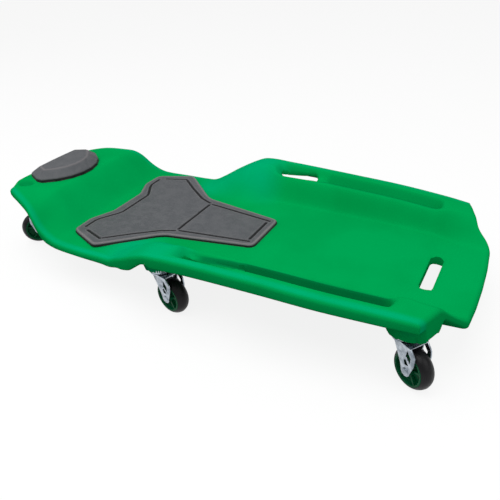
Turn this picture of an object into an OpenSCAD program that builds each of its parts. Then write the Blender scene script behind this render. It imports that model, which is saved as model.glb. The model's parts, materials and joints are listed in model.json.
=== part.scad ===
// Mechanics creeper: a moulded lying deck with a back pad and a head pad, on six swivel casters.
// The head end points to -X, the foot end to +X, and the wheels stand on z = 0.

/* [Deck] */
// Length of the deck from the head end to the foot end
deck_len = 1012; // [960:1:1060]
// Greatest width of the deck, across the shoulders
deck_w = 496; // [470:1:520]
// Thickness of the moulded deck under the lying surface
deck_t = 20; // [16:1:21]
// Height of the side rails above the lying surface
rail_h = 62; // [50:1:66]
// Height of the head rest's platform above the lying surface
head_rise = 62; // [50:1:66]

/* [Pads] */
// Thickness of the back pad
back_pad_t = 7; // [5:0.5:12]
// Thickness of the head pad
head_pad_t = 24; // [18:1:30]

/* [Casters] */
// Diameter of the wheels
wheel_d = 75; // [63:1:80]
// Width of the tyres
tyre_w = 28; // [22:1:30]
// Distance from the swivel axis to the wheel axis
trail = 28; // [24:1:30]
// Thickness of the fork's pressed sheet
fork_t = 2.5; // [2:0.1:3]
// Diameter of the axle bolts
axle_d = 8; // [6:0.5:10]
// Diameter of the swivel bolts
king_d = 10; // [8:0.5:12]
// Balls in each swivel bearing
ball_count = 12; // [8:1:13]

/* [Hidden] */
$fn = 64;
RUN = 0.05;               // radial clearance of a running fit

// ---- Heights
swivel_h = 25;            // from the top of the wheels to the seats of the casters
seat_z = wheel_d + swivel_h;
lie_z = seat_z;           // the lying surface is level with the seats

// ---- Deck: the shape is laid out in design units and scaled to the driving sizes
DESIGN_LEN = 1012;
DESIGN_W = 496;
sx = deck_len / DESIGN_LEN;
sy = deck_w / DESIGN_W;
RAIL = rail_h / 62;       // the heights below are for a rail of 62

// half width of the deck along its length
WIDTH = [[-500, 118], [-488, 131], [-450, 153], [-400, 175], [-350, 196], [-300, 204], [-230, 208],
    [-160, 209], [-125, 216], [-95, 231], [-60, 242], [-25, 248], [50, 244], [200, 237], [300, 233],
    [400, 223], [450, 216]];
// height of the outer edge above the lying surface
EDGE = [[-500, 53], [-470, 58], [-440, 60], [-400, 56], [-380, 52], [-364, 42], [-340, 18], [-319, 5],
    [-295, -2], [-230, -3], [-170, -2], [-148, 0], [-125, 11], [-90, 31], [-50, 51], [-20, 61], [50, 62],
    [150, 60], [300, 55], [400, 50], [450, 46], [512, 40]];
// distance in from the edge at which the inner slope meets the lying surface
FOOT = [[-500, 36], [-450, 55], [-420, 72], [-350, 92], [-300, 80], [-160, 60], [-130, 80], [-100, 110],
    [-60, 137], [-15, 138], [40, 104], [150, 96], [400, 92], [440, 104], [512, 111]];
// distance in from the edge at which the inner slope has its full height
TOP = [[-500, 8], [-400, 14], [-160, 14], [-100, 34], [-50, 44], [0, 42], [60, 60], [400, 58],
    [450, 50], [512, 48]];
// thickness of the side wall
WALL = [[-500, 15], [-400, 15], [-340, 24], [-300, 18], [-240, 17], [-170, 19], [-141, 22], [-111, 27],
    [-85, 31], [-67, 32], [-50, 27], [-31, 21], [-20, 23], [-10, 28], [51, 27], [270, 26], [456, 23],
    [512, 22]];

RAMP = [-302, -372];      // the ends of the ramp up to the head rest's platform
ROLL = 9;                 // radius of the rolled outer edge
FLOOR_T = 14;             // least thickness under a recess
RIDGE_DROP = 10;          // the tray's inner ridge is this much lower than the rail
RIDGE_ENDS = [20, 420];   // the ridge is at the rail's height before and after these
TRAY = [150, 398];        // the tool tray's ends
TRAY_DEPTH = 36;          // depth of the tool tray below the rail
TRAY_SIDES = [24, 60];    // the tray's sides, as distances in from the edge
POCKET = [0, 140];        // the ends of the pocket round the side handle
POCKET_DEPTH = [[30, 22], [75, 17], [120, 12]];    // its depth below the rail along its length

// corners of the foot end: half width, then how far along the deck it reaches
FOOT_END = [[0, 512], [60, 511], [118, 507], [132, 498], [146, 478], [158, 471], [205, 454], [216, 448]];
HEAD_END = [[0, -500], [80, -499], [110, -496], [131, -488]];
FOOT_START = 410;         // the rows start to bend towards the end outline here
HEAD_START = -460;

SIDE_SLOT = [76, 206, 90, 24];     // x, y, length and width of a side handle slot
END_SLOT = [426, 0, 27, 118];      // x, y, width and length of the end handle slot

// ---- Casters: place of the swivel axis and the direction the wheel rolls in
CASTERS = [["foot_right", 421, -170, -33], ["foot_left", 421, 170, 25], ["mid_right", -45, -177, -15],
    ["mid_left", -45, 177, 12], ["head_right", -462, -67, 230], ["head_left", -462, 67, 130]];
BOSSES = [[421, 170], [-45, 177], [-462, 67]];
BOSS_R = 28;              // radius of the flat seat under a boss
BOSS_FLAT = 50;           // radius over which the underside is level with a boss
BOSS_SPREAD = 18;         // width of the curve between that and the deck's underside
BOSS_GAP = 0.4;           // the round seat stands this far out of the level part
SEAT_H = 6;
wheel_r = wheel_d / 2;
crown_z = seat_z - 15;    // top of the fork's crown
leg_in = tyre_w / 2 + 2;
leg_out = leg_in + fork_t;
ball_r = 3;
race_r = 15;              // radius of the ring of balls
ball_z = crown_z + RUN + ball_r;
race_z = ball_z + ball_r; // underside of the top race
fork_x = [-5, 33];        // back and front of the fork's crown
king_head = [8, 5.5];     // radius and height of the swivel bolt's head
king_top = seat_z + 19;
insert_r = 8;
insert_h = 20;
axle_head = [7.5, 5];     // radius and height of the axle bolt's head
nut_size = [7.5, 6.5];
hub_r = 29.5;
hub_boss_r = 9;
hub_side = leg_in - 0.3;  // half length of the hub between the fork's legs
tyre_curve = 16.5;        // radius of the tread's round section

PART_NAMES = ["insert", "kingbolt", "top_race", "balls", "fork", "axle", "axle_nut", "hub", "tyre"];

// ---------------------------------------------------------------- curves
function clamp01(t) = min(1, max(0, t));
function smooth(t) = let (k = clamp01(t)) k * k * (3 - 2 * k);
function slope_at(p, i) = i == 0 ? (p[1][1] - p[0][1]) / (p[1][0] - p[0][0])
    : i == len(p) - 1 ? (p[i][1] - p[i - 1][1]) / (p[i][0] - p[i - 1][0])
    : (p[i + 1][1] - p[i - 1][1]) / (p[i + 1][0] - p[i - 1][0]);
function span_of(p, x) = len([for (i = [1 : len(p) - 2]) if (x > p[i][0]) 1]);
// smooth curve through the points p, read at x
function along(p, x) = let (
    i = span_of(p, x), h = p[i + 1][0] - p[i][0], t = clamp01((x - p[i][0]) / h),
    a = slope_at(p, i) * h, b = slope_at(p, i + 1) * h)
    p[i][1] * (2 * t * t * t - 3 * t * t + 1) + a * (t * t * t - 2 * t * t + t)
    + p[i + 1][1] * (3 * t * t - 2 * t * t * t) + b * (t * t * t - t * t);
// straight lines through the points p, read at x
function corners(p, x) = let (i = span_of(p, x), h = p[i + 1][0] - p[i][0])
    p[i][1] + (p[i + 1][1] - p[i][1]) * clamp01((x - p[i][0]) / h);

// ---------------------------------------------------------------- deck surfaces
function half_width(x) = along(WIDTH, x);
function edge_h(x) = along(EDGE, x) * RAIL;
function ramp_h(x) = head_rise * smooth((RAMP[0] - x) / (RAMP[0] - RAMP[1]));
// the moulded surface before any recess, d in from the edge
function body_h(x, d) = let (
    c = ramp_h(x), e = edge_h(x), r = e - RIDGE_DROP * window(x, RIDGE_ENDS, 36),
    f = along(FOOT, x), t = along(TOP, x))
    c + (r - c) * smooth((f - d) / (f - t)) + (e - r) * smooth((t - d) / (t - 18));
function window(x, ends, run) = smooth((x - ends[0]) / run) * smooth((ends[1] - x) / run);
function tray_mask(x, d) = window(x, TRAY, 16) * smooth((d - TRAY_SIDES[0]) / 10)
    * smooth((TRAY_SIDES[1] - d) / 4);
function pocket_mask(x, d) = smooth((x - POCKET[0]) / 34) * smooth((POCKET[1] - x) / 20)
    * smooth((d - 20) / 7) * smooth((76 - d) / 30);
function roll(d) = d >= ROLL ? 0 : ROLL - sqrt(ROLL * ROLL - (ROLL - d) * (ROLL - d));
function top_h(x, d) = let (
    b = body_h(x, d), e = edge_h(x),
    p = b - max(0, b - (e - corners(POCKET_DEPTH, x))) * pocket_mask(x, d))
    p - max(0, p - (e - TRAY_DEPTH)) * tray_mask(x, d);
function under_h(x, d) = min(
    body_h(x, d) - deck_t - (along(WALL, x) - deck_t) * (1 - smooth(d / 30)), top_h(x, d) - FLOOR_T);
// 0 over the bosses that carry the casters, 1 away from them
function off_boss(x, y) = min([for (b = BOSSES)
    smooth((norm([x - b[0], y - b[1]]) - BOSS_FLAT) / BOSS_SPREAD)]);

// ---------------------------------------------------------------- deck mesh
OUTER = [0, 3, 9, 22, 29, 34, 56, 60, 66, 74, 83, 94, 106];
INNER_STEPS = 6;
HEAD_ROWS = [0, 0.08, 0.24, 0.6];
FOOT_ROWS = [0.4, 0.7, 0.9, 0.97, 1];
ROW_STEP = 20;
// each row is [x at the rail, how far it has bent towards the head end, and towards the foot end]
ROWS = concat([for (k = HEAD_ROWS) [HEAD_START - 28 * (1 - k), 1 - k, 0]],
    [for (x = [HEAD_START : ROW_STEP : FOOT_START - 1]) [x, 0, 0]],
    [[FOOT_START, 0, 0]], [for (k = FOOT_ROWS) [FOOT_START + 38 * k, 0, k]]);
function line_y(w, j) = j < len(OUTER) ? w - OUTER[j]
    : (w - OUTER[len(OUTER) - 1]) * (1 - (j - len(OUTER) + 1) / INNER_STEPS);
HALF = len(OUTER) + INNER_STEPS;   // lines on each side of the centre line, with the edge
function side_of(j) = j < HALF ? -1 : 1;
function half_line(j) = j < HALF ? j : 2 * HALF - 2 - j;
LINES = 2 * HALF - 1;
function place(row, y) = row[0] + row[1] * (corners(HEAD_END, y) - (HEAD_START - 28))
    + row[2] * (corners(FOOT_END, y) - (FOOT_START + 38));
function end_gap(row) = min((1 - row[1]) * 40, (1 - row[2]) * 45);
function deck_point(row, j, top) = let (
    w = half_width(row[0]), y = line_y(w, half_line(j)), d = w - y, x = place(row, y),
    r = max(roll(d), roll(end_gap(row))))
    [x * sx, y * side_of(j) * sy,
        lie_z + (top ? top_h(x, d) - r
            : BOSS_GAP + (under_h(x, d) + r * 0.5 - BOSS_GAP) * off_boss(x, y))];
function quad(a, b, c, d) = [[a, b, c], [a, c, d]];

module deck_shell() {
    n = len(ROWS);
    base = n * LINES;
    points = [for (top = [true, false]) for (row = ROWS) for (j = [0 : LINES - 1]) deck_point(row, j, top)];
    faces = concat(
        [for (i = [0 : n - 2]) for (j = [0 : LINES - 2]) let (a = i * LINES + j)
            each quad(a, a + 1, a + LINES + 1, a + LINES)],
        [for (i = [0 : n - 2]) for (j = [0 : LINES - 2]) let (a = base + i * LINES + j)
            each quad(a, a + LINES, a + LINES + 1, a + 1)],
        [for (i = [0 : n - 2]) let (a = i * LINES) each quad(a, a + LINES, base + a + LINES, base + a)],
        [for (i = [0 : n - 2]) let (a = i * LINES + LINES - 1)
            each quad(a, base + a, base + a + LINES, a + LINES)],
        [for (j = [0 : LINES - 2]) each quad(j, base + j, base + j + 1, j + 1)],
        [for (j = [0 : LINES - 2]) let (a = (n - 1) * LINES + j)
            each quad(a, a + 1, base + a + 1, base + a)]);
    polyhedron(points, faces, convexity = 10);
}

// a slot with round ends that runs along X, cut right through the deck
module slot(length, width, z0, z1) {
    translate([0, 0, z0])
        linear_extrude(z1 - z0) {
            square([length - width, width], center = true);
            for (s = [-1, 1])
                translate([s * (length - width) / 2, 0])
                    circle(d = width);
        }
}

module at_swivel(c) {
    translate([c[1] * sx, c[2] * sy, 0])
        rotate(c[3])
            children();
}

module deck() {
    color([0, 0.62, 0.31])
        difference() {
            union() {
                deck_shell();
                for (c = CASTERS)
                    at_swivel(c)
                        translate([0, 0, seat_z])
                            cylinder(r = BOSS_R, h = SEAT_H);
            }
            for (s = [-1, 1])
                translate([SIDE_SLOT[0] * sx, s * SIDE_SLOT[1] * sy, 0])
                    slot(SIDE_SLOT[2] * sx, SIDE_SLOT[3], lie_z, lie_z + rail_h + 20);
            translate([END_SLOT[0] * sx, 0, 0])
                rotate(90)
                    slot(END_SLOT[3] * sy, END_SLOT[2], lie_z - 40, lie_z + 20);
            for (c = CASTERS)
                at_swivel(c)
                    translate([0, 0, seat_z - 1])
                        cylinder(r = insert_r, h = insert_h + 1);
        }
}

// ---------------------------------------------------------------- pads
// half of the back pad's outline, from the tail round to the head edge
BACK_HALF = [[94, 52], [88, 60], [-92, 92], [-108, 102], [-196, 181], [-206, 186], [-276, 157],
    [-288, 149], [-290, 98], [-268, 48]];
module back_pad() {
    outline = concat(BACK_HALF,
        [for (i = [len(BACK_HALF) - 1 : -1 : 0]) [BACK_HALF[i][0], -BACK_HALF[i][1]]]);
    color([0.33, 0.34, 0.36])
        translate([0, 0, lie_z])
            linear_extrude(back_pad_t)
                polygon([for (p = outline) [p[0] * sx, p[1] * sy]]);
}

// half of the head pad's outline, measured from its middle
HEAD_HALF = [[56, 15], [48, 42], [30, 68], [2, 90], [-14, 90], [-54, 70], [-56, 20]];
HEAD_MID = -428;
module head_outline(k) {
    outline = concat(HEAD_HALF,
        [for (i = [len(HEAD_HALF) - 1 : -1 : 0]) [HEAD_HALF[i][0], -HEAD_HALF[i][1]]]);
    polygon([for (p = outline) [p[0] * k * sx, p[1] * k * sy]]);
}
module head_pad() {
    color([0.33, 0.34, 0.36])
        translate([HEAD_MID * sx, 0, lie_z + head_rise])
            hull() {
                linear_extrude(head_pad_t * 0.4)
                    head_outline(1);
                linear_extrude(head_pad_t)
                    head_outline(0.78);
            }
}

// ---------------------------------------------------------------- caster pieces
// a cylinder along Y from y0 to y1
module bar(r, y0, y1) {
    translate([0, y1, 0])
        rotate([90, 0, 0])
            cylinder(r = r, h = y1 - y0);
}

// threaded insert moulded into the deck's boss
module insert() {
    color([0.8, 0.7, 0.4])
        translate([0, 0, seat_z])
            difference() {
                cylinder(r = insert_r, h = insert_h);
                translate([0, 0, -1])
                    cylinder(d = king_d, h = insert_h + 2);
            }
}

module kingbolt() {
    color([0.75, 0.77, 0.8]) {
        translate([0, 0, crown_z - fork_t - RUN - king_head[1]])
            cylinder(r = king_head[0], h = king_head[1]);
        translate([0, 0, crown_z - fork_t - 1])
            cylinder(d = king_d, h = king_top - crown_z + fork_t + 1);
    }
}

// the upper race: a flat plate under the boss with a skirt round the balls
module top_race() {
    color([0.75, 0.77, 0.8])
        difference() {
            union() {
                translate([0, 0, seat_z - 3])
                    cylinder(r = 26, h = 3);
                translate([0, 0, race_z - 4])
                    cylinder(r = 22, h = seat_z - race_z + 2);
            }
            translate([0, 0, race_z - 5])
                cylinder(r = 20, h = 5);
            cylinder(d = king_d, h = seat_z + 1);
        }
}

module balls() {
    color([0.85, 0.85, 0.87])
        for (i = [0 : ball_count - 1])
            rotate(i * 360 / ball_count)
                translate([race_r, 0, ball_z])
                    sphere(r = ball_r);
}

// side view of one leg of the fork, with its two lightening slots
module leg_side() {
    eye_r = 9.5;
    difference() {
        union() {
            polygon([[fork_x[0], crown_z], [fork_x[1], crown_z], [trail + 15, crown_z - 12],
                [trail + 16, wheel_r + 22], [trail + 9.4, wheel_r + 1], [trail - 7, wheel_r - 6.4],
                [trail - 12, wheel_r + 9], [3, crown_z - 14]]);
            translate([trail, wheel_r])
                circle(r = eye_r);
        }
        translate([trail, wheel_r])
            circle(d = axle_d);
        polygon([[trail - 1, crown_z - 7], [trail + 8, crown_z - 17], [trail + 7, wheel_r + 19],
            [trail - 3, wheel_r + 27]]);
        polygon([[trail - 6, wheel_r + 20], [trail - 2, wheel_r + 23], [trail + 5, wheel_r + 14],
            [trail - 3, wheel_r + 12]]);
    }
}

module fork() {
    color([0.75, 0.77, 0.8])
        difference() {
            union() {
                translate([0, 0, crown_z - fork_t])
                    cylinder(r = 21, h = fork_t);
                translate([fork_x[0], -leg_out, crown_z - fork_t])
                    cube([fork_x[1] - fork_x[0], 2 * leg_out, fork_t]);
                for (y = [leg_out, -leg_in])
                    translate([0, y, 0])
                        rotate([90, 0, 0])
                            linear_extrude(fork_t)
                                leg_side();
            }
            cylinder(d = king_d + 2 * RUN, h = seat_z);
        }
}

module axle() {
    color([0.75, 0.77, 0.8])
        translate([trail, 0, wheel_r]) {
            bar(axle_d / 2, -leg_out, leg_out + nut_size[1] + 1.5);
            bar(axle_head[0], -leg_out - axle_head[1], -leg_out);
        }
}

module axle_nut() {
    color([0.75, 0.77, 0.8])
        translate([trail, 0, wheel_r])
            difference() {
                translate([0, leg_out + nut_size[1], 0])
                    rotate([90, 0, 0])
                        cylinder(r = nut_size[0], h = nut_size[1], $fn = 6);
                bar(axle_d / 2, leg_out - 1, leg_out + nut_size[1] + 1);
            }
}

// the hub's web has ribs on both sides, between the boss and the rim
module hub() {
    web = 6;
    rim_in = hub_r - 4;
    color([0, 0.4, 0.2])
        translate([trail, 0, wheel_r])
            difference() {
                union() {
                    bar(hub_boss_r, -hub_side, hub_side);
                    bar(hub_r - 1, -web, web);
                    difference() {
                        bar(hub_r, -tyre_w / 2, tyre_w / 2);
                        bar(rim_in, -tyre_w, tyre_w);
                    }
                    for (i = [0 : 4])
                        rotate([0, i * 72, 0])
                            translate([hub_boss_r - 2, -tyre_w / 2 + 3, -2.5])
                                cube([rim_in - hub_boss_r + 3, tyre_w - 6, 5]);
                }
                bar(axle_d / 2 + RUN, -hub_side - 1, hub_side + 1);
            }
}

module tyre() {
    color([0.1, 0.1, 0.11])
        translate([trail, 0, wheel_r])
            rotate([90, 0, 0])
                rotate_extrude($fn = 96)
                    intersection() {
                        translate([hub_r, -tyre_w / 2])
                            square([wheel_r - hub_r, tyre_w]);
                        translate([wheel_r - tyre_curve, 0])
                            circle(r = tyre_curve);
                    }
}

module caster_piece(p) {
    if (p == "insert") insert();
    if (p == "kingbolt") kingbolt();
    if (p == "top_race") top_race();
    if (p == "balls") balls();
    if (p == "fork") fork();
    if (p == "axle") axle();
    if (p == "axle_nut") axle_nut();
    if (p == "hub") hub();
    if (p == "tyre") tyre();
}

deck();
back_pad();
head_pad();
for (c = CASTERS) for (p = PART_NAMES)
    at_swivel(c) caster_piece(p);
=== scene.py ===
import json
import math

import bpy
import numpy as np
from mathutils import Matrix


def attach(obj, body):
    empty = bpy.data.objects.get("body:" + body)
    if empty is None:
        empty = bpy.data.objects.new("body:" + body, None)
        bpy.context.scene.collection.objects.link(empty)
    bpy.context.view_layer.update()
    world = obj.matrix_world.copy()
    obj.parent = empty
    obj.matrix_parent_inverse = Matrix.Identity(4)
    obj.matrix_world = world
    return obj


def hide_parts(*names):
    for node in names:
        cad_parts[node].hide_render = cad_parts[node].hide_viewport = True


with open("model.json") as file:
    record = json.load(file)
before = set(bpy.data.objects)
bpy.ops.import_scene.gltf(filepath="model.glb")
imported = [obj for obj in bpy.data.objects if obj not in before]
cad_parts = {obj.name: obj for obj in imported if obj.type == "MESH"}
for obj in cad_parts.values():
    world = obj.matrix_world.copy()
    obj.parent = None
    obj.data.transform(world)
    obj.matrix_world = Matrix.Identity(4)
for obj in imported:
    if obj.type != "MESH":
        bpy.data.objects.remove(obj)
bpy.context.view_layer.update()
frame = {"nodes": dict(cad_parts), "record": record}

# ================================================================ camera and floor
# The creeper stands on a plain white studio floor and is seen from its right side, above the foot
# end. The floor is near white by itself and keeps a soft shadow under the deck.

MM = 0.001
CAMERA_TURN = 29.475          # degrees round the object from straight at its right side
CAMERA_RISE = 31.08           # degrees above the floor
CAMERA_ROLL = 2.763
CAMERA_REACH = 1146 * MM
CAMERA_AIM = np.array([58.7, -9.4, 60.5]) * MM
LENS = 39.43                  # focal length on a 36 mm wide frame


def camera_place():
    """Position is the aim point plus the reach along the backward direction; the picture's right
    and up directions are then turned about the view line by the roll."""
    turn, rise, roll = np.radians([CAMERA_TURN, CAMERA_RISE, CAMERA_ROLL])
    back = np.array([np.sin(turn) * np.cos(rise), -np.cos(turn) * np.cos(rise), np.sin(rise)])
    right = np.cross(-back, [0, 0, 1])
    right /= np.linalg.norm(right)
    down = np.cross(-back, right)
    rolled_right = np.cos(roll) * right + np.sin(roll) * down
    rolled_down = -np.sin(roll) * right + np.cos(roll) * down
    place = np.eye(4)
    place[:3, 0] = rolled_right
    place[:3, 1] = -rolled_down
    place[:3, 2] = back
    place[:3, 3] = CAMERA_AIM + CAMERA_REACH * back
    return Matrix(place.tolist())


camera_data = bpy.data.cameras.new("camera")
camera_data.lens = LENS
camera_data.sensor_width = 36
camera_data.clip_end = 100
camera = bpy.data.objects.new("camera", camera_data)
camera.matrix_world = camera_place()
bpy.context.collection.objects.link(camera)
bpy.context.scene.camera = camera
bpy.context.scene.view_settings.view_transform = "Standard"


class Value:
    """A shader socket that does arithmetic: each operator adds the Math node that it stands for."""

    def __init__(self, material, socket):
        self.material = material
        self.socket = socket

    def math(self, operation, *others):
        return self.material.add("ShaderNodeMath", {"operation": operation}, self, *others)

    def __add__(self, other):
        return self.math("ADD", other)

    def __mul__(self, other):
        return self.math("MULTIPLY", other)


class Finish:
    """A material and its node tree. add() makes any node from its type, its settings and the values
    or links of its inputs, which are given in order or by name. An input of None is left alone."""

    def __init__(self, name):
        self.material = bpy.data.materials.new(name)
        self.material.use_nodes = True
        self.nodes = self.material.node_tree.nodes
        self.links = self.material.node_tree.links
        self.nodes.clear()

    def add(self, kind, settings=None, *inputs, out=0, **named):
        node = self.nodes.new(kind)
        for name, value in (settings or {}).items():
            setattr(node, name, value)
        for key, value in list(enumerate(inputs)) + list(named.items()):
            if value is None:
                continue
            socket = node.inputs[key.replace("_", " ")] if isinstance(key, str) else node.inputs[key]
            if isinstance(value, Value):
                self.links.new(value.socket, socket)
            else:
                socket.default_value = value
        return Value(self, node.outputs[out])

    def mix(self, factor, a, b):
        """Colour a turned towards colour b by the factor. The Mix node's colours are its inputs 6
        and 7, and its third output."""
        skipped = [None] * 5
        return self.add("ShaderNodeMix", {"data_type": "RGBA"}, factor, *skipped, a, b, out=2)

    def ramped(self, value, low, high, start=0.0, end=1.0):
        """The value's span from low to high, mapped to start to end and held outside it."""
        settings = {"interpolation_type": "SMOOTHSTEP"}
        return self.add("ShaderNodeMapRange", settings, value, low, high, start, end)

    def place(self):
        return self.add("ShaderNodeTexCoord", out=3)

    def mark(self, name):
        """A number stored with each point of the mesh."""
        return self.add("ShaderNodeAttribute", {"attribute_name": name}, out=2)

    def noise(self, scale, detail):
        return self.add("ShaderNodeTexNoise", Vector=self.place(), Scale=scale, Detail=detail)

    def cells(self, scale, feature="F1"):
        return self.add("ShaderNodeTexVoronoi", {"feature": feature}, Vector=self.place(), Scale=scale)

    def bump(self, height, strength, distance):
        return self.add("ShaderNodeBump", Height=height, Strength=strength, Distance=distance)

    def surface(self, shader):
        self.links.new(shader.socket, self.nodes.new("ShaderNodeOutputMaterial").inputs["Surface"])
        return self.material

    def principled(self, **named):
        return self.surface(self.add("ShaderNodeBsdfPrincipled", **named))


def link_object(name, mesh):
    """A new object with this mesh, at the origin."""
    made = bpy.data.objects.new(name, mesh)
    bpy.context.collection.objects.link(made)
    return made


def grid_faces(rows, columns, first=0, wrap=False):
    """Corner numbers of the quads of a grid whose points are stored row by row."""
    across = columns if wrap else columns - 1
    i, j = np.meshgrid(np.arange(rows - 1), np.arange(across), indexing="ij")
    k = (j + 1) % columns
    quads = np.stack([i * columns + j, i * columns + k, (i + 1) * columns + k, (i + 1) * columns + j], -1)
    return first + quads.reshape(-1, 4)


def mesh_of(name, points, faces, material):
    """A smooth-shaded mesh from an array of points and a list of arrays of faces."""
    mesh = bpy.data.meshes.new(name)
    mesh.from_pydata(np.asarray(points, float).tolist(), [], [f for part in faces for f in part.tolist()])
    mesh.materials.append(material)
    mesh.shade_smooth()
    return mesh


FLOOR_HALF = 20.0
FLOOR_GLOW = 0.86             # share of the floor's look that is plain white, the rest being lit


def floor_finish():
    """White where it is looked at, straight on or in a reflection, and grey to the light that it
    throws back up under the deck."""
    finish = Finish("studio_floor")
    white = finish.add("ShaderNodeBsdfDiffuse", Color=(0.9, 0.9, 0.9, 1))
    grey = finish.add("ShaderNodeBsdfDiffuse", Color=(0.22, 0.22, 0.22, 1))
    glow = finish.add("ShaderNodeEmission", Color=(1, 1, 1, 1), Strength=1.0)
    seen = finish.add("ShaderNodeMixShader", None, FLOOR_GLOW, white, glow)
    looked_at = finish.add("ShaderNodeLightPath", out="Is Camera Ray")
    for ray in ("Is Glossy Ray", "Is Transmission Ray"):
        looked_at = looked_at.math("MAXIMUM", finish.add("ShaderNodeLightPath", out=ray))
    return finish.surface(finish.add("ShaderNodeMixShader", None, looked_at, grey, seen))


floor_points = [(-FLOOR_HALF, -FLOOR_HALF, 0), (FLOOR_HALF, -FLOOR_HALF, 0),
                (FLOOR_HALF, FLOOR_HALF, 0), (-FLOOR_HALF, FLOOR_HALF, 0)]
link_object("floor", mesh_of("floor", floor_points, [np.array([[0, 1, 2, 3]])], floor_finish()))

# ================================================================ studio light
# One broad soft lamp hangs over the deck on its right side, and two weaker ones stand beyond its head
# end and its foot end. The surroundings are even and white.


def lamp(name, place, aim, size, power):
    """A square area lamp of this size in metres, turned to face the aim point."""
    data = bpy.data.lights.new(name, "AREA")
    data.size = size
    data.energy = power
    made = link_object(name, data)
    place, aim = np.array(place, float), np.array(aim, float)
    away = (place - aim) / np.linalg.norm(place - aim)
    side = np.cross([0.0, 1.0, 0.0], away)
    side /= np.linalg.norm(side)
    turn = np.eye(4)
    turn[:3, 0], turn[:3, 1], turn[:3, 2], turn[:3, 3] = side, np.cross(away, side), away, place
    made.matrix_world = Matrix(turn.tolist())
    return made


lamp("overhead_lamp", (-0.15, -0.7, 2.5), (0, 0, 0.1), 2.2, 46)
lamp("head_end_lamp", (-2.2, -0.4, 1.6), (-0.2, 0, 0.1), 1.6, 7)
lamp("foot_end_lamp", (2.2, -0.6, 1.8), (-0.2, 0, 0.1), 1.6, 12)

world = bpy.data.worlds.new("studio")
world.use_nodes = True
world.node_tree.nodes["Background"].inputs["Color"].default_value = (1, 1, 1, 1)
world.node_tree.nodes["Background"].inputs["Strength"].default_value = 0.52
bpy.context.scene.world = world

# ================================================================ deck
# One hollow moulding of green polyethylene: a flat lying surface between two raised rails, low
# openings for the arms, a raised head rest, two tool trays, three hand slots and six bosses for the
# casters. The outer edge is rolled over all round, and the skin has the fine grain of the mould.

SEAT = 100.0                  # height of the lying surface, level with the caster seats
DECK_T = 20.0
ROLL = 9.0                    # radius of the rolled top edge
UNDER_ROLL = 6.0
FLOOR_T = 14.0                # least thickness under a recess
HEAD_RISE = 62.0              # height of the head rest's platform over the lying surface
RAMP = (-292, -378)           # the ends of the ramp up to it
RAIL_TOP = 18.0               # the rail has its full height this far in from the edge
RAIL_REACH = 104.0            # the rails' lines keep their distance from the edge as far in as this
RIDGE_DROP = 10.0             # the tray's inner ridge is this much lower than the rail
RIDGE_ENDS = (20, 420)
TRAY = (143, 402)
TROUGH = (40, 400)            # a shallow trough joins the tray and the pocket
TROUGH_DEPTH = 20.0
TRAY_SIDES = (27, 55)         # the tray's sides, as distances in from the edge
TRAY_DEPTH = 36.0
PAINTED_TRAY_SHADE = (40, 408)             # painted shade on the tray's inner wall: where it runs, and how far in it is
PAINTED_TRAY_SHADE_SIDES = (46, 60)
POCKET = (16, 147)
POCKET_DEPTH = [(30, 22), (75, 17), (120, 12)]    # its depth below the rail along its length
DIMPLE = (-465, 102, 23, 15)  # middle and reach of the hollow inside each head corner
DIMPLE_DEPTH = 9.0

# half width, edge height over the lying surface, where the inner slope meets the lying surface and
# where it has its full height, as distances in from the edge, and the side wall's thickness
WIDTH = [(-500, 118), (-488, 131), (-450, 153), (-400, 175), (-350, 196), (-300, 204), (-230, 208),
         (-160, 209), (-125, 216), (-95, 231), (-60, 242), (-25, 248), (50, 244), (200, 237), (300, 233),
         (400, 223), (450, 216)]
EDGE = [(-500, 53), (-470, 58), (-440, 60), (-400, 56), (-380, 52), (-364, 42), (-340, 18), (-319, 5),
        (-295, -2), (-230, -3), (-170, -2), (-148, 0), (-125, 11), (-90, 31), (-50, 51), (-20, 61), (50, 62),
        (150, 60), (300, 55), (400, 50), (450, 46), (512, 40)]
FOOT = [(-500, 36), (-450, 55), (-420, 72), (-350, 92), (-300, 80), (-160, 60), (-130, 80), (-100, 110),
        (-60, 137), (-15, 138), (40, 104), (150, 96), (400, 92), (440, 104), (512, 111)]
TOP = [(-500, 8), (-400, 14), (-160, 14), (-100, 34), (-50, 44), (0, 42), (60, 60), (400, 58),
       (450, 50), (512, 48)]
WALL = [(-500, 21), (-440, 18), (-400, 15), (-340, 24), (-300, 18), (-240, 17), (-170, 19), (-141, 22),
        (-111, 27), (-85, 31), (-67, 32), (-50, 27), (-31, 21), (-20, 23), (-10, 28), (51, 27), (270, 26),
        (456, 23), (512, 22)]
FOOT_END = [(0, 512), (60, 511), (118, 507), (132, 498), (146, 478), (158, 471), (205, 454), (216, 448)]
HEAD_END = [(0, -500), (80, -499), (110, -496), (131, -488)]
FOOT_START = 410.0
HEAD_START = -460.0
FOOT_BEND = 38.0              # how far the rail runs on from where the rows start to bend
HEAD_BEND = 28.0

SIDE_SLOT = (77, 207, 89, 23)    # x, y, length along X and width of a side hand slot
END_SLOT = (424, 0, 24, 115)     # x, y, length along X and width of the end hand slot
SLOT_ROLL = 4.0
BOSSES = [(421, 170), (-45, 177), (-462, 67)]
BOSS_FLAT = 27.0
BOSS_SPREAD = (17.0, 10.0)    # reach of the soft curve round it, on the deck's underside and on its side
BOSS_RUN = 1.8                # how far a foot boss is drawn out towards the foot end
SKIRT = (27.0, 33.5)          # inner and outer radius of the skirt that hides the caster's plate
SKIRT_DROP = 7.0


def smooth(t):
    """3t^2 - 2t^3, held at 0 and 1 outside 0 to 1."""
    t = np.clip(t, 0, 1)
    return t * t * (3 - 2 * t)


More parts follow.
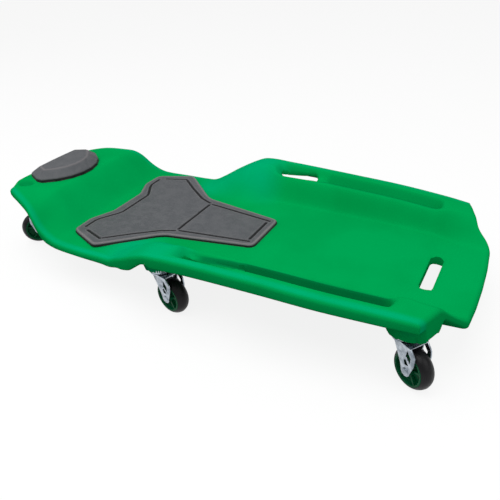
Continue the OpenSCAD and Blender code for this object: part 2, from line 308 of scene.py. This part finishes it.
def along(points, x):
    """Smooth curve through the points: a cubic on each span, whose slope at a point is that of the
    line between its two neighbours."""
    px, py = np.array(points, float).T
    slope = np.empty(len(px))
    slope[1:-1] = (py[2:] - py[:-2]) / (px[2:] - px[:-2])
    slope[0] = (py[1] - py[0]) / (px[1] - px[0])
    slope[-1] = (py[-1] - py[-2]) / (px[-1] - px[-2])
    i = np.clip(np.searchsorted(px, x) - 1, 0, len(px) - 2)
    h = px[i + 1] - px[i]
    t = np.clip((x - px[i]) / h, 0, 1)
    return (py[i] * (2 * t**3 - 3 * t**2 + 1) + slope[i] * h * (t**3 - 2 * t**2 + t)
            + py[i + 1] * (3 * t**2 - 2 * t**3) + slope[i + 1] * h * (t**3 - t**2))


def softened(points, y, reach):
    """Straight lines through the points, with each corner rounded by averaging over the reach."""
    px, py = np.array(points, float).T
    return np.mean([np.interp(np.abs(y + step), px, py) for step in np.linspace(-reach, reach, 9)], axis=0)


def window(x, ends, run):
    """1 between the two ends, falling smoothly to 0 at each of them over the run."""
    return smooth((x - ends[0]) / run) * smooth((ends[1] - x) / run)


def softened_ramp(t):
    """t from 0 to 1, with both ends of the straight line rounded off."""
    return (np.hypot(t - 0.08, 0.05) - np.hypot(t - 0.92, 0.05) + 0.84) / 1.68


def ramp_height(x):
    """The lying surface, which climbs to the head rest's platform: halfway between a straight ramp
    and a smooth step."""
    t = np.clip((RAMP[0] - x) / (RAMP[0] - RAMP[1]), 0, 1)
    return HEAD_RISE * (smooth(t) + softened_ramp(t)) / 2


def body_height(x, d):
    """The moulded surface before any recess, d in from the edge: lying surface, then the inner
    slope up to the ridge, then up to the rail."""
    low = ramp_height(x)
    edge = along(EDGE, x)
    ridge = edge - RIDGE_DROP * window(x, RIDGE_ENDS, 36)
    foot, top = along(FOOT, x), along(TOP, x)
    return (low + (ridge - low) * smooth((foot - d) / (foot - top))
            + (edge - ridge) * smooth((top - d) / (top - RAIL_TOP)))


def tray_mask(x, d, ends):
    """1 between the two ends of the tool tray and between its sides, 0 outside them."""
    return (window(x, ends, 12) * smooth((d - TRAY_SIDES[0] + 4) / 23)
            * smooth((TRAY_SIDES[1] - d) / 4))


def pocket_mask(x, d):
    """1 inside the pocket round the side hand slot; its head end is a long slope."""
    return (smooth((x - POCKET[0]) / 34) * smooth((POCKET[1] - x) / 14)
            * smooth((d - 15) / 16) * smooth((66 - d) / 12))


def rolled(distance, radius):
    """How far a rolled edge of this radius has dropped, at a distance in from the edge."""
    gap = np.clip(radius - distance, 0, radius)
    return radius - np.sqrt(radius * radius - gap * gap)


def dimple_reach(x, y):
    """Distance from the middle of the head corner's hollow, as a share of its size."""
    return np.hypot((x - DIMPLE[0]) / DIMPLE[2], (np.abs(y) - DIMPLE[1]) / DIMPLE[3])


def top_height(x, y, d):
    """The body with the pocket, the tray and the head corner's hollow sunk into it in turn."""
    edge = along(EDGE, x)
    height = body_height(x, d)
    pocket = edge - np.interp(x, *np.array(POCKET_DEPTH, float).T)
    height = height - np.maximum(0, height - pocket) * pocket_mask(x, d)
    for ends, depth in ((TRAY, TRAY_DEPTH), (TROUGH, TROUGH_DEPTH)):
        height = height - np.maximum(0, height - (edge - depth)) * tray_mask(x, d, ends)
    return height - DIMPLE_DEPTH * smooth(1.2 - dimple_reach(x, y))


def from_boss(x, y):
    """Distance to the nearest boss's middle, with a foot boss drawn out towards the foot end past
    its flat."""
    apart = []
    for bx, by in BOSSES:
        plain = np.hypot(x - bx, y - by)
        drawn = np.hypot((x - bx) / np.where((x > bx) & (bx > 300), BOSS_RUN, 1), y - by)
        apart.append(np.where(plain < SKIRT[0] + 1, plain, np.maximum(drawn, SKIRT[0] + 1)))
    return np.min(apart, axis=0)


def off_boss(apart, level):
    """0 over the bosses, 1 away from them, with a soft curve between. The curve is wider where the
    deck is lower than the boss, which leaves room for the fork to swivel."""
    return smooth((apart - BOSS_FLAT) / np.where(level < 0, BOSS_SPREAD[0], BOSS_SPREAD[1]))


def under_height(x, y, d):
    """The underside: the body less the wall, lower under a recess, and level with a boss over it."""
    wall = DECK_T + (along(WALL, x) - DECK_T) * (1 - smooth(d / 30))
    apart = from_boss(x, y)
    level = np.minimum(body_height(x, d) - wall, top_height(x, y, d) - FLOOR_T)
    level = level * off_boss(apart, level)
    skirt = smooth((apart - SKIRT[0]) / 1.5) * smooth((SKIRT[1] - apart) / 5)
    return level + np.minimum(0, -SKIRT_DROP - level) * skirt


def slot_distance(x, y, slot):
    """Distance outside a slot with round ends, on the side where y is positive."""
    half_x, half_y = slot[2] / 2, slot[3] / 2
    radius = min(half_x, half_y)
    return np.hypot(np.maximum(np.abs(x - slot[0]) - half_x + radius, 0),
                    np.maximum(np.abs(y - slot[1]) - half_y + radius, 0)) - radius


def edge_distance(x, y, outline):
    """Distance from each point to the nearest stretch of the outline."""
    start, end = outline[:-1], outline[1:]
    step = end - start
    length = np.maximum((step**2).sum(1), 1e-9)
    nearest = np.full(x.size, 1e9)
    points = np.stack([x.ravel(), y.ravel()], 1)
    for block in np.array_split(np.arange(len(start)), min(16, len(start))):
        offset = points[:, None, :] - start[block]
        t = np.clip((offset * step[block]).sum(2) / length[block], 0, 1)
        gap = offset - t[..., None] * step[block]
        nearest = np.minimum(nearest, np.sqrt((gap**2).sum(2)).min(1))
    return nearest.reshape(x.shape)


def deck_rows():
    """x at the rail of each row, and how far the row has bent to the head end and to the foot end."""
    ease = 1 - np.cos(np.linspace(0, np.pi / 2, 15))
    head = 1 - ease[:-1]
    foot = np.sin(np.linspace(0, np.pi / 2, 27))[1:]
    middle = np.linspace(HEAD_START, FOOT_START, 243)
    x = np.concatenate([HEAD_START - HEAD_BEND * head, middle, FOOT_START + FOOT_BEND * foot])
    return (x, np.concatenate([head, np.zeros(len(middle) + len(foot))]),
            np.concatenate([np.zeros(len(head) + len(middle)), foot]))


def mark_points(mesh, name, values):
    mesh.attributes.new(name, "FLOAT", "POINT").data.foreach_set("value", values)


def deck_mesh(name, material):
    """Top and underside are grids over the outline. A line keeps its distance from the edge on the
    rails and shares out the width between them. The two are joined by a wall round the edge."""
    row_x, to_head, to_foot = deck_rows()
    rim = ROLL * (1 - np.cos(np.linspace(0, np.pi / 2, 7)))
    rail = np.linspace(ROLL, RAIL_REACH, 41)[1:]
    outer = np.concatenate([rim, rail])
    width = along(WIDTH, row_x)[:, None]
    share = np.linspace(1, 0, 19)[None, 1:]
    half = np.concatenate([width - outer[None], (width - outer[-1]) * share], axis=1)
    y = half[:, ::-1]
    x = (row_x[:, None] + to_head[:, None] * (softened(HEAD_END, y, 8) - HEAD_START + HEAD_BEND)
         + to_foot[:, None] * (softened(FOOT_END, y, 6) - FOOT_START - FOOT_BEND))
    d = width - y
    outline = np.concatenate([np.stack([x[0], y[0]], 1), np.stack([x[:, -1], y[:, -1]], 1),
                              np.stack([x[-1, ::-1], y[-1, ::-1]], 1)])
    gap = edge_distance(x, y, outline)
    slot_gap = np.minimum(slot_distance(x, y, SIDE_SLOT), slot_distance(x, y, END_SLOT))
    rim_drop = rolled(np.maximum(slot_gap, 0), SLOT_ROLL)
    top = SEAT + top_height(x, y, d) - rolled(gap, ROLL) - rim_drop
    under = SEAT + under_height(x, y, d) + rolled(gap, UNDER_ROLL) + rim_drop
    under = np.minimum(under, top - 4)

    def both_sides(values, sign):
        return np.concatenate([sign * values[:, :0:-1], values], axis=1)

    full_x, full_y = both_sides(x, 1), both_sides(y, -1)
    sheets = [np.stack([full_x, full_y, both_sides(z, 1)], -1) for z in (top, under)]
    rows, lines = full_x.shape
    points = np.concatenate([sheet.reshape(-1, 3) for sheet in sheets]) * MM
    number = np.arange(rows * lines).reshape(rows, lines)
    ring = np.concatenate([number[0, :-1], number[:-1, -1], number[-1, :0:-1], number[:0:-1, 0]])
    after = np.roll(ring, -1)
    below = rows * lines
    faces = [grid_faces(rows, lines)[:, ::-1], grid_faces(rows, lines, below),
             np.stack([ring, after, after + below, ring + below], 1)]
    mesh = mesh_of(name, points, faces, material)
    # painted highlight: a paler teal along the rolled edge and over the shoulders' slope
    painted_highlight = np.maximum(smooth((d - 1) / 4) * (1 - smooth((d - 9) / 11)),
                        window(x, (-210, 70), 80) * (1 - smooth((d - 70) / 80)) * smooth(d / 6))
    # painted shade: darker on the tray's inner wall and in the head corner's hollow
    painted_shade = window(x, PAINTED_TRAY_SHADE, 30) * smooth((d - PAINTED_TRAY_SHADE_SIDES[0]) / 4) * smooth((PAINTED_TRAY_SHADE_SIDES[1] - d) / 4)
    painted_shade = np.maximum(painted_shade, 0.45 * smooth((1.1 - dimple_reach(x, y)) / 0.5))
    for label, values in (("painted_highlight", painted_highlight), ("painted_shade", painted_shade)):
        mark_points(mesh, label, np.tile(both_sides(values, 1).ravel(), 2))
    return mesh


def slot_cutter(name, slot, side, low, high):
    """A prism with round ends: the slot's outline at two heights, closed above and below."""
    half_x, half_y = slot[2] / 2, slot[3] / 2
    radius = min(half_x, half_y)
    angle = np.linspace(0, 2 * np.pi, 64, endpoint=False)
    x = slot[0] + np.sign(np.cos(angle)) * (half_x - radius) + radius * np.cos(angle)
    y = side * slot[1] + np.sign(np.sin(angle)) * (half_y - radius) + radius * np.sin(angle)
    count = len(angle)
    points = np.concatenate([np.stack([x, y, np.full(count, z)], 1) for z in (low, high)]) * MM
    around = np.arange(count)
    after = np.roll(around, -1)
    sides = np.stack([around, after, after + count, around + count], 1)
    return link_object(name, mesh_of(name, points, [sides, around[None, ::-1], around[None] + count],
                                     deck_material))


def joined(piece, other, operation):
    """The other piece added to this one or taken out of it, and then removed."""
    modifier = piece.modifiers.new("join", "BOOLEAN")
    modifier.object = other
    modifier.operation = operation
    modifier.solver = "EXACT"
    piece.data = bpy.data.meshes.new_from_object(piece.evaluated_get(bpy.context.evaluated_depsgraph_get()))
    piece.modifiers.clear()
    bpy.data.objects.remove(other)


def deck_finish():
    """Matt green polyethylene: slow changes of shade from the mould, a paler painted highlight along the rolled
    edges and the shoulders, and darker painted shade in the trays and the head corners' hollows, with a fine
    pebbled grain."""
    finish = Finish("green_polyethylene")
    shade = finish.noise(7.0, 3.0)
    cloudy = finish.noise(45.0, 2.0)
    painted_highlight = finish.mark("painted_highlight")
    painted_shade = finish.mark("painted_shade")
    colour = finish.mix(finish.ramped(shade, 0.35, 0.65), (0.0, 0.290, 0.066, 1), (0.0, 0.315, 0.074, 1))
    # painted highlight: paler teal where that mark is set
    colour = finish.mix(painted_highlight * finish.ramped(shade, 0.3, 0.7, 0.45, 0.8), colour, (0.0, 0.350, 0.150, 1))
    # painted shade: darker green where that mark is set
    colour = finish.mix(painted_shade * 0.6, colour, (0.0, 0.075, 0.030, 1))
    grain = finish.cells(900.0)
    pebble = finish.noise(1400.0, 2.0)
    roughness = finish.ramped(cloudy, 0.3, 0.7, 0.34, 0.44)
    normal = finish.bump(grain * 0.6 + pebble * 0.4, 0.12, 0.0004)
    return finish.principled(Base_Color=colour, Roughness=roughness, Normal=normal,
                             Specular_IOR_Level=0.0)


deck_material = deck_finish()
deck = link_object("deck_moulding", deck_mesh("deck_moulding", deck_material))
joined(deck, slot_cutter("side_cutter_right", SIDE_SLOT, -1, SEAT - 10, SEAT + 90), "DIFFERENCE")
joined(deck, slot_cutter("side_cutter_left", SIDE_SLOT, 1, SEAT - 10, SEAT + 90), "DIFFERENCE")
joined(deck, slot_cutter("end_cutter", END_SLOT, 1, SEAT - 60, SEAT + 60), "DIFFERENCE")
deck.data.set_sharp_from_angle(angle=math.radians(42))
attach(deck, "deck")
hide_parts("deck")

# ================================================================ back pad
# A flat pad of closed-cell foam with a fine leather-like skin, moulded in one piece. Its edge is
# rolled, and pressed grooves mark off a border, the wings and the tail.


def ring_outline(corners, count, reach):
    """A closed outline through the corners, evenly spaced along its length, with each corner
    rounded by averaging over the reach."""
    closed = np.array(corners + corners[:1], float)
    run = np.concatenate([[0], np.cumsum(np.hypot(*np.diff(closed, axis=0).T))])
    at = np.linspace(0, run[-1], count, endpoint=False)
    total = np.zeros((count, 2))
    steps = np.linspace(-reach, reach, 11)
    for step in steps:
        s = (at + step) % run[-1]
        total += np.stack([np.interp(s, run, closed[:, 0]), np.interp(s, run, closed[:, 1])], 1)
    return total / len(steps)


def mirrored(half):
    """Both halves of an outline that is given from one end round to the other, for y above 0."""
    return half + [(x, -y) for x, y in half[::-1]]


def pad_mesh(name, outline, centre, share, shape, base_z, material):
    """Rings from the centre out to the outline, at these shares of the way. shape gives the height at a
    distance in from the edge, the painted shade in the grooves and along the foot of the edge, and the painted
    highlight along the edges. The underside is flat."""
    points = centre + share[:, None, None] * (outline[None] - centre)
    x, y = points[..., 0], points[..., 1]
    coarse = outline[::3]
    gap = edge_distance(x, y, np.concatenate([coarse, coarse[:1]]))
    height, groove, painted_edge_highlight = shape(x, y, gap)
    rings, around = x.shape
    top = np.stack([x, y, base_z + height], -1).reshape(-1, 3)
    base = np.stack([x[-1], y[-1], np.full(around, base_z)], -1)
    hub = np.array([[centre[0], centre[1], base_z + height[0].mean()], [centre[0], centre[1], base_z]])
    last = (rings - 1) * around
    a = np.arange(around)
    b = np.roll(a, -1)
    low = rings * around
    faces = [grid_faces(rings, around, wrap=True)[:, ::-1],
             np.stack([last + a, last + b, low + b, low + a], 1)[:, ::-1],
             np.stack([b, a, np.full(around, low + around)], 1)[:, ::-1],
             np.stack([low + a, low + b, np.full(around, low + around + 1)], 1)[:, ::-1]]
    mesh = mesh_of(name, np.concatenate([top, base, hub]) * MM, faces, material)
    # the groove mark holds painted shade, in the grooves and along the foot of the edge; the other mark holds a
    # painted highlight
    for label, values in (("groove", groove), ("painted_edge_highlight", painted_edge_highlight)):
        mark_points(mesh, label, np.concatenate([values.ravel(), np.zeros(around + 2)]))
    return mesh


def pad_finish():
    """Dark foam skin: a fine irregular grain and a slight mottle, with painted shade that makes it nearly black
    in the pressed grooves and along the foot of the edge, and a painted highlight that makes it paler along the
    edges."""
    finish = Finish("foam_skin")
    groove = finish.mark("groove")
    painted_edge_highlight = finish.mark("painted_edge_highlight")
    mottle = finish.noise(60.0, 3.0)
    speck = finish.noise(1100.0, 2.0)
    colour = finish.mix(finish.ramped(mottle, 0.3, 0.7), (0.066, 0.071, 0.079, 1), (0.090, 0.094, 0.102, 1))
    colour = finish.mix(finish.ramped(speck, 0.4, 0.75, 0.0, 0.4), colour, (0.12, 0.12, 0.125, 1))
    # painted highlight, paler along the edges
    colour = finish.mix(painted_edge_highlight * 0.65, colour, (0.21, 0.19, 0.195, 1))
    # painted shade, nearly black in the grooves and along the foot of the edge
    colour = finish.mix(groove, colour, (0.002, 0.002, 0.003, 1))
    grain = finish.cells(700.0, "DISTANCE_TO_EDGE")
    height = finish.ramped(grain, 0.0, 0.35) * 0.7 + speck * 0.3
    normal = finish.bump(height, 0.4, 0.0006)
    roughness = finish.ramped(mottle, 0.3, 0.7, 0.52, 0.66)
    return finish.principled(Base_Color=colour, Roughness=roughness, Normal=normal, Specular_IOR_Level=0.3)


BACK_HALF = [(94, 52), (88, 60), (-92, 92), (-108, 102), (-196, 181), (-206, 186), (-276, 157),
             (-288, 149), (-290, 98), (-268, 48)]
BACK_T = 7.0
BACK_EDGE = 4.0               # radius of the rolled edge
GROOVE_DEPTH = 1.3
# middle lines of the grooves, for y above 0
GROOVES = [[(-242, 0), (-242, 45), (-246, 55), (-267, 90), (-271, 102), (-271, 132)],
           [(-256, 143), (-208, 160)], [(-203, 156), (-161, 120), (-113, 83), (-84, 70)],
           [(-80, 0), (-80, 61)], [(-74, 66), (78, 46)], [(75, 0), (75, 37)]]


def back_shape(x, y, gap):
    """Rolled at the edge and slightly crowned, less a rounded trough along each groove line."""
    nearest = np.min([edge_distance(x, np.abs(y), np.array(line, float)) for line in GROOVES], axis=0)
    groove = 1 - smooth((nearest - 2.3) / 0.9)
    edge = np.sqrt(np.clip(1 - (1 - np.clip(gap / BACK_EDGE, 0, 1))**2, 0, 1))
    crown = 0.5 * smooth((gap - 16) / 40)
    lip = 0.35 * np.exp(-((nearest - 4.8) / 1.4)**2)
    # painted highlight along the crest of the rolled edge and the grooves' lips
    painted_edge_highlight = np.exp(-((gap - 4.2) / 2.5)**2) + 0.3 * np.exp(-((nearest - 4.8) / 1.2)**2)
    # painted contact shadow, a near-black line along the foot of the edge; with the grooves it makes the
    # painted shade
    painted_contact_shadow = 1 - smooth((gap - 0.5) / 0.9)
    return (BACK_T - 0.8) * edge + crown + lip * edge - GROOVE_DEPTH * groove, np.maximum(groove, painted_contact_shadow), painted_edge_highlight


pad_material = pad_finish()
back_outline = ring_outline(mirrored(BACK_HALF), 900, 7)
back_share = np.concatenate([np.linspace(0.01, 0.88, 140), np.linspace(0.88, 1.0, 40)[1:]])
back_pad = link_object("back_pad_foam", pad_mesh("back_pad_foam", back_outline, np.array([-170.0, 0.0]),
                                                 back_share, back_shape, SEAT, pad_material))
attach(back_pad, "deck")
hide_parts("back_pad")

# ================================================================ head pad
# A thick block of the same foam, with a short side wall and broad flat bevels round a flat top. It
# lies on the head rest's platform.

HEAD_HALF = [(56, 15), (48, 42), (30, 68), (2, 90), (-14, 90), (-54, 70), (-56, 20)]
HEAD_MID = -428.0
HEAD_T = 24.0
HEAD_WALL = 8.0               # height of the side wall
HEAD_BEVEL = 21.0             # width of the bevel


def head_shape(x, y, gap):
    """A side wall with a rounded foot and top, then a straight bevel, eased into the flat top."""
    wall = HEAD_WALL * np.sqrt(np.clip(1 - (1 - np.clip(gap / 2.5, 0, 1))**2, 0, 1))
    climb = np.clip((gap - 1.5) / HEAD_BEVEL, 0, 1.2)
    eased = np.where(climb < 0.88, climb, 0.88 + 0.12 * (1 - (1 - np.clip((climb - 0.88) / 0.24, 0, 1))**2))
    # painted highlight along the crease where the bevel meets the flat top
    painted_edge_highlight = 0.7 * np.exp(-((gap - HEAD_BEVEL - 1) / 2.2)**2)
    # painted contact shadow, a near-black line along the foot of the edge
    painted_contact_shadow = 1 - smooth((gap - 0.5) / 0.9)
    return wall + (HEAD_T - 0.6 - HEAD_WALL) * eased + 0.6 * smooth((gap - 24) / 40), painted_contact_shadow, painted_edge_highlight


head_outline = ring_outline([(x + HEAD_MID, y) for x, y in mirrored(HEAD_HALF)], 480, 4)
head_share = np.concatenate([np.linspace(0.02, 0.7, 36), np.linspace(0.7, 1.0, 66)[1:]])
head_pad = link_object("head_pad_foam", pad_mesh("head_pad_foam", head_outline, np.array([HEAD_MID - 4, 0.0]),
                                                 head_share, head_shape, SEAT + HEAD_RISE, pad_material))
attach(head_pad, "deck")
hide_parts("head_pad")

# ================================================================ casters
# Six bought-in swivel casters. The forks, races and bolts are pressed and turned steel with a bright
# zinc plating, the hubs are green nylon, and the tyres are black rubber pressed onto them.


def zinc_finish():
    """Zinc plate: pale metal with a cloudy change of tone and a fine grain in its roughness and surface."""
    finish = Finish("zinc_plate")
    cloudy = finish.noise(90.0, 3.0)
    fine = finish.noise(900.0, 2.0)
    colour = finish.mix(finish.ramped(cloudy, 0.3, 0.7), (0.22, 0.26, 0.30, 1), (0.52, 0.57, 0.63, 1))
    roughness = finish.ramped(fine, 0.3, 0.7, 0.22, 0.38)
    return finish.principled(Base_Color=colour, Metallic=1.0, Roughness=roughness,
                             Normal=finish.bump(fine, 0.08, 0.0003))


def bearing_finish():
    """Polished hard steel with a faint film of grease."""
    finish = Finish("bearing_steel")
    film = finish.noise(300.0, 2.0)
    return finish.principled(Base_Color=(0.75, 0.75, 0.77, 1), Metallic=1.0,
                             Roughness=finish.ramped(film, 0.3, 0.7, 0.08, 0.2))


def brass_finish():
    """Turned brass with slight tarnish."""
    finish = Finish("turned_brass")
    tarnish = finish.noise(200.0, 3.0)
    colour = finish.mix(finish.ramped(tarnish, 0.35, 0.7), (0.62, 0.45, 0.18, 1), (0.42, 0.30, 0.13, 1))
    return finish.principled(Base_Color=colour, Metallic=1.0, Roughness=0.3)


def hub_finish():
    """Green nylon, a little darker than the deck, with a fine grain."""
    finish = Finish("green_nylon")
    shade = finish.noise(80.0, 3.0)
    grain = finish.noise(1500.0, 2.0)
    colour = finish.mix(finish.ramped(shade, 0.3, 0.7), (0.0, 0.070, 0.024, 1), (0.0, 0.10, 0.036, 1))
    return finish.principled(Base_Color=colour, Roughness=finish.ramped(shade, 0.3, 0.7, 0.32, 0.45),
                             Normal=finish.bump(grain, 0.1, 0.0003), Specular_IOR_Level=0.1)


def tyre_finish():
    """Black rubber: matt, with a trace of dust and a fine moulded grain."""
    finish = Finish("black_rubber")
    dust = finish.noise(50.0, 4.0)
    grain = finish.noise(1200.0, 2.0)
    colour = finish.mix(finish.ramped(dust, 0.45, 0.75), (0.003, 0.003, 0.004, 1), (0.008, 0.008, 0.009, 1))
    return finish.principled(Base_Color=colour, Roughness=finish.ramped(dust, 0.3, 0.7, 0.34, 0.48),
                             Normal=finish.bump(grain, 0.15, 0.0004), Specular_IOR_Level=0.22)


caster_finishes = {"zinc_steel": zinc_finish(), "bearing_steel": bearing_finish(), "brass": brass_finish(),
                   "green_hub": hub_finish(), "tyre": tyre_finish()}
for subpart in frame["record"]["subparts"]:
    finish_of = caster_finishes.get(subpart["material_slot"])
    if finish_of:
        node = frame["nodes"][subpart["node"]]
        node.data.materials.clear()
        node.data.materials.append(finish_of)

# place of each swivel axis, and the direction in degrees that its wheel rolls in
CASTERS = {"foot_right": (421, -170, -33), "foot_left": (421, 170, 25), "mid_right": (-45, -177, -15),
           "mid_left": (-45, 177, 12), "head_right": (-462, -67, 230), "head_left": (-462, 67, 130)}
WHEEL_R = 37.5
TRAIL = 28.0                  # from the swivel axis back to the wheel axis
CROWN_Z = 85.0


def at_casters(local, body, kind, label):
    """A copy of the mesh at each caster, turned about its swivel axis and moved to it."""
    flat = np.empty(3 * len(local.vertices))
    local.vertices.foreach_get("co", flat)
    x, y, z = flat.reshape(-1, 3).T
    for name, (cx, cy, yaw) in CASTERS.items():
        c, s = math.cos(math.radians(yaw)), math.sin(math.radians(yaw))
        mesh = local.copy()
        mesh.name = f"caster_{name}_{label}"
        turned = np.stack([x * c - y * s + cx * MM, x * s + y * c + cy * MM, z], 1)
        mesh.vertices.foreach_set("co", turned.ravel())
        mesh.update()
        piece = link_object(mesh.name, mesh)
        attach(piece, f"{body}_{name}")
        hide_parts(f"caster_{name}_{kind}")


def turned_rings(profile, around):
    """Points and faces of a closed profile of radius and side position, turned about the wheel's
    axis. The faces look outward when the profile's outer side runs from -y to +y."""
    angle = np.linspace(0, 2 * np.pi, around, endpoint=False)[:, None]
    radius, side = np.array(profile, float).T
    points = np.stack([TRAIL + radius * np.cos(angle), np.broadcast_to(side, (around, len(side))),
                       WHEEL_R + radius * np.sin(angle)], -1).reshape(-1, 3)
    i, j = np.meshgrid(np.arange(around), np.arange(len(side)), indexing="ij")
    k, m = (i + 1) % around, (j + 1) % len(side)
    count = len(side)
    faces = np.stack([i * count + j, i * count + m, k * count + m, k * count + j], -1).reshape(-1, 4)
    return points, faces


def there_and_back(half):
    """A profile for one side of the wheel, followed by its mirror image."""
    return half + [(r, -side) for r, side in half[::-1]]


# ================================================================ tyres
# Smooth-treaded black rubber tyres, moulded in two halves: the tread is a round arc with a faint
# parting ridge round its middle, and small square shoulders where it grips the hub.

TYRE_IN = 29.5
TREAD_R = 16.5                # radius of the tread's round section
PARTING = 0.25                # height of the parting ridge
arc = np.radians(np.linspace(-57, 57, 45))
tread = [(WHEEL_R - TREAD_R + TREAD_R * math.cos(t) - PARTING * smooth(abs(t) / 0.05), TREAD_R * math.sin(t))
         for t in arc]
tyre_points, tyre_faces = turned_rings([(TYRE_IN, -13.6), (TYRE_IN + 0.3, -13.85)] + tread
                                       + [(TYRE_IN + 0.3, 13.85), (TYRE_IN, 13.6)], 144)
at_casters(mesh_of("tyre", tyre_points * MM, [tyre_faces], caster_finishes["tyre"]),
           "wheel", "tyre", "tyre_rubber")

# ================================================================ hubs
# Green nylon hubs, injection moulded: a boss round the axle, a dished web with five ribs on each
# side, and a rim with rounded lips that carries the tyre.

HUB_SIDE = 15.7
AXLE_BORE = 4.05
hub_half = [(AXLE_BORE, -HUB_SIDE), (8.4, -HUB_SIDE), (8.9, -HUB_SIDE + 0.3), (9.2, -HUB_SIDE + 0.9),
            (10.4, -7.6), (11.4, -6.7), (13.0, -6.3), (22.5, -6.3), (24.0, -6.8), (24.9, -8.0), (25.4, -13.0),
            (25.7, -13.7), (26.3, -14.0), (28.6, -14.0), (29.2, -13.8), (TYRE_IN, -13.3)]
hub_points, hub_faces = turned_rings(there_and_back(hub_half), 96)
rib_faces = []
for turn in range(5):
    for side in (-1, 1):
        along_rib = np.array([8.0, 25.0])
        corners = [(r, w, v) for r in along_rib for w in (-1.6, 1.6) for v in (5.5, 11.2 if r < 10 else 12.2)]
        angle = math.radians(72 * turn + 18)
        rib = [(TRAIL + r * math.cos(angle) - w * math.sin(angle), side * v,
                WHEEL_R + r * math.sin(angle) + w * math.cos(angle)) for r, w, v in corners]
        first = len(hub_points)
        quads = np.array([(0, 1, 3, 2), (4, 6, 7, 5), (0, 4, 5, 1), (2, 3, 7, 6), (0, 2, 6, 4), (1, 5, 7, 3)])
        rib_faces.append(first + (quads if side < 0 else quads[:, ::-1]))
        hub_points = np.concatenate([hub_points, rib])
hub_mesh = mesh_of("hub", hub_points * MM, [hub_faces] + rib_faces, caster_finishes["green_hub"])
hub_mesh.set_sharp_from_angle(angle=math.radians(50))
at_casters(hub_mesh, "wheel", "hub", "hub_moulding")

# ================================================================ axle bolts
# Zinc-plated bolts with a low domed head against one leg of the fork. The plain shank carries the
# wheel, and its end stands just out of the nut on the other leg.

bolt_side = [(2.6, -21.0), (4.6, -20.6), (5.9, -19.8), (6.4, -18.9), (6.4, -18.45), (3.95, -18.4), (3.95, 26.0),
             (3.4, 26.5)]
bolt_points, bolt_faces = turned_rings(bolt_side, 48)
count = len(bolt_side)
between = bolt_faces.reshape(48, count, 4)[:, :-1].reshape(-1, 4)
ends = [np.arange(48)[None] * count, (np.arange(48)[None, ::-1] + 1) * count - 1]
bolt_mesh = mesh_of("bolt", bolt_points * MM, [between] + ends, caster_finishes["zinc_steel"])
bolt_mesh.set_sharp_from_angle(angle=math.radians(50))
at_casters(bolt_mesh, "fork", "axle", "axle_bolt")

# ================================================================ forks
# Each fork is pressed from one zinc-plated sheet: a flat crown with the swivel hole, and two legs
# with a long and a short lightening slot, folded down on each side of the wheel. Edges are eased.

SHEET = 2.5
LEG_IN = 16.0
FORK_X = (-5, 33)             # back and front of the crown
LEG = [(FORK_X[0], CROWN_Z), (3, CROWN_Z - 14), (TRAIL - 12, WHEEL_R + 9), (TRAIL - 8.6, WHEEL_R - 4),
       (TRAIL - 5.5, WHEEL_R - 7.7), (TRAIL, WHEEL_R - 9.5), (TRAIL + 5.5, WHEEL_R - 7.7),
       (TRAIL + 8.8, WHEEL_R - 3.6), (TRAIL + 9.6, WHEEL_R + 1), (TRAIL + 15.5, WHEEL_R + 19),
       (TRAIL + 16, WHEEL_R + 24), (TRAIL + 15, CROWN_Z - 13), (TRAIL + 12, CROWN_Z - 8), (FORK_X[1], CROWN_Z)]
LONG_SLOT = [(TRAIL - 1, CROWN_Z - 7), (TRAIL + 8, CROWN_Z - 17), (TRAIL + 7, WHEEL_R + 19),
             (TRAIL - 3, WHEEL_R + 27)]
SHORT_SLOT = [(TRAIL - 6, WHEEL_R + 20), (TRAIL - 2, WHEEL_R + 23), (TRAIL + 5, WHEEL_R + 14),
              (TRAIL - 3, WHEEL_R + 12)]


def prism(name, outline, low, high, across):
    """The outline pulled straight from low to high: an outline of x and z goes across the wheel,
    and one of x and y goes up."""
    flat = np.array(outline, float)
    turn = np.roll(flat, -1, axis=0)
    if np.sum(flat[:, 0] * turn[:, 1] - flat[:, 1] * turn[:, 0]) < 0:
        flat = flat[::-1]
    count = len(flat)
    ends = [np.insert(flat, 1 if across else 2, level, axis=1) for level in (low, high)]
    a = np.arange(count)
    b = np.roll(a, -1)
    faces = [np.stack([a, b, b + count, a + count], 1), a[None, ::-1], a[None] + count]
    if across:
        faces = [part[:, ::-1] for part in faces]
    return link_object(name, mesh_of(name, np.concatenate(ends) * MM, faces, caster_finishes["zinc_steel"]))


def circle(x, y, radius):
    angle = np.linspace(0, 2 * np.pi, 48, endpoint=False)
    return np.stack([x + radius * np.cos(angle), y + radius * np.sin(angle)], 1)


LEG_OUT = LEG_IN + SHEET
fork = prism("fork", [(FORK_X[0], -LEG_OUT), (FORK_X[1], -LEG_OUT), (FORK_X[1], LEG_OUT), (FORK_X[0], LEG_OUT)],
             CROWN_Z - SHEET, CROWN_Z, False)
joined(fork, prism("race_seat", circle(0, 0, 20.8), CROWN_Z - SHEET, CROWN_Z, False), "UNION")
for low in (LEG_IN, -LEG_OUT):
    joined(fork, prism("leg", LEG, low, low + SHEET, True), "UNION")
for outline in (LONG_SLOT, SHORT_SLOT, circle(TRAIL, WHEEL_R, 4.0)):
    joined(fork, prism("leg_slot", outline, -LEG_OUT - 2, LEG_OUT + 2, True), "DIFFERENCE")
joined(fork, prism("swivel_hole", circle(0, 0, 5.05), CROWN_Z - 10, CROWN_Z + 10, False), "DIFFERENCE")
eased = fork.modifiers.new("eased", "BEVEL")
eased.width = 0.7 * MM
eased.segments = 2
eased.limit_method = "ANGLE"
eased.angle_limit = math.radians(35)
fork_mesh = bpy.data.meshes.new_from_object(fork.evaluated_get(bpy.context.evaluated_depsgraph_get()))
bpy.data.objects.remove(fork)
fork_mesh.set_sharp_from_angle(angle=math.radians(38))
at_casters(fork_mesh, "fork", "fork", "fork_pressing")
